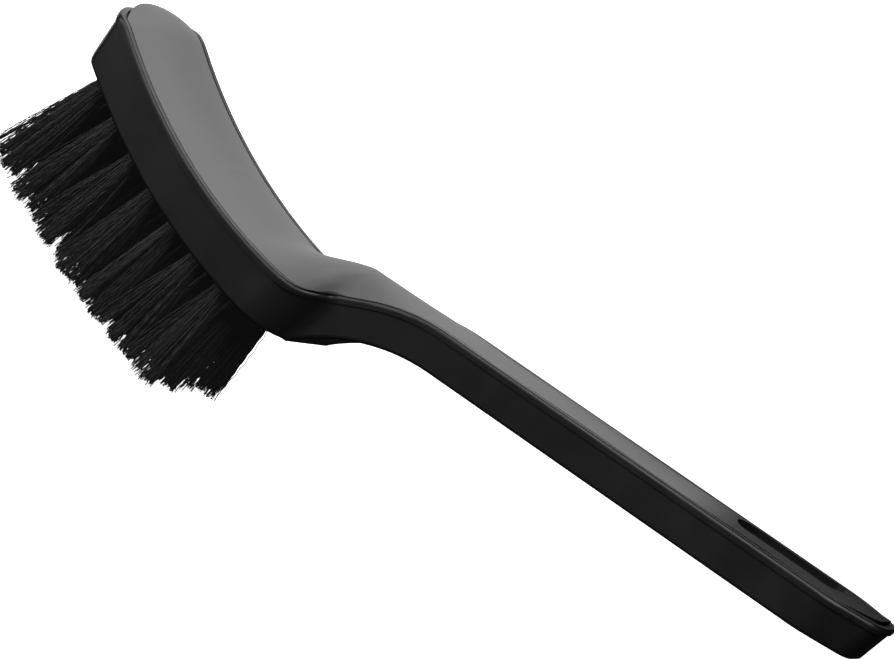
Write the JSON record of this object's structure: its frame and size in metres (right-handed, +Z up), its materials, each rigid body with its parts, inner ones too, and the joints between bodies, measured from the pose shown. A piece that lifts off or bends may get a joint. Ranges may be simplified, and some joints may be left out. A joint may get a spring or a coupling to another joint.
{
  "type": "wheel brush",
  "caption": "Short-handled wheel brush: curved head with stapled bristle tufts, raised neck, straight handle with a soft-touch back and a hang slot.",
  "frame": {"origin": "on the plane of symmetry, under the middle of the brush's length, level with the lowest bristle tip", "axes": "+X along the brush from the nose of the head to the end of the handle, +Y across the head, +Z up, out of the back of the head, so the bristles point down"},
  "size_m": [0.2578, 0.0446, 0.133],
  "materials": {
    "moulding": "finely textured satin black polypropylene",
    "grip": "smooth soft-touch dark grey thermoplastic elastomer with a satin sheen",
    "bristle": "black crimped polypropylene filament",
    "anchor_wire": "flat galvanised steel wire"
  },
  "bodies": {
    "root": {"body_moulding": "moulding", "grip_skin": "grip", "tuft_anchors": "anchor_wire", "tuft_r1_c1": "bristle", "tuft_r1_c2": "bristle", "tuft_r1_c3": "bristle", "tuft_r1_c4": "bristle", "tuft_r1_c5": "bristle", "tuft_r1_c6": "bristle", "tuft_r1_c7": "bristle", "tuft_r2_c1": "bristle", "tuft_r2_c2": "bristle", "tuft_r2_c3": "bristle", "tuft_r2_c4": "bristle", "tuft_r2_c5": "bristle", "tuft_r2_c6": "bristle", "tuft_r2_c7": "bristle", "tuft_r2_c8": "bristle", "tuft_r3_c1": "bristle", "tuft_r3_c2": "bristle", "tuft_r3_c3": "bristle", "tuft_r3_c4": "bristle", "tuft_r3_c5": "bristle", "tuft_r3_c6": "bristle", "tuft_r3_c7": "bristle", "tuft_r4_c1": "bristle", "tuft_r4_c2": "bristle", "tuft_r4_c3": "bristle", "tuft_r4_c4": "bristle", "tuft_r4_c5": "bristle", "tuft_r4_c6": "bristle", "tuft_r4_c7": "bristle", "tuft_r4_c8": "bristle", "tuft_r5_c1": "bristle", "tuft_r5_c2": "bristle", "tuft_r5_c3": "bristle", "tuft_r5_c4": "bristle", "tuft_r5_c5": "bristle", "tuft_r5_c6": "bristle", "tuft_r5_c7": "bristle"}
  },
  "joints": []
}
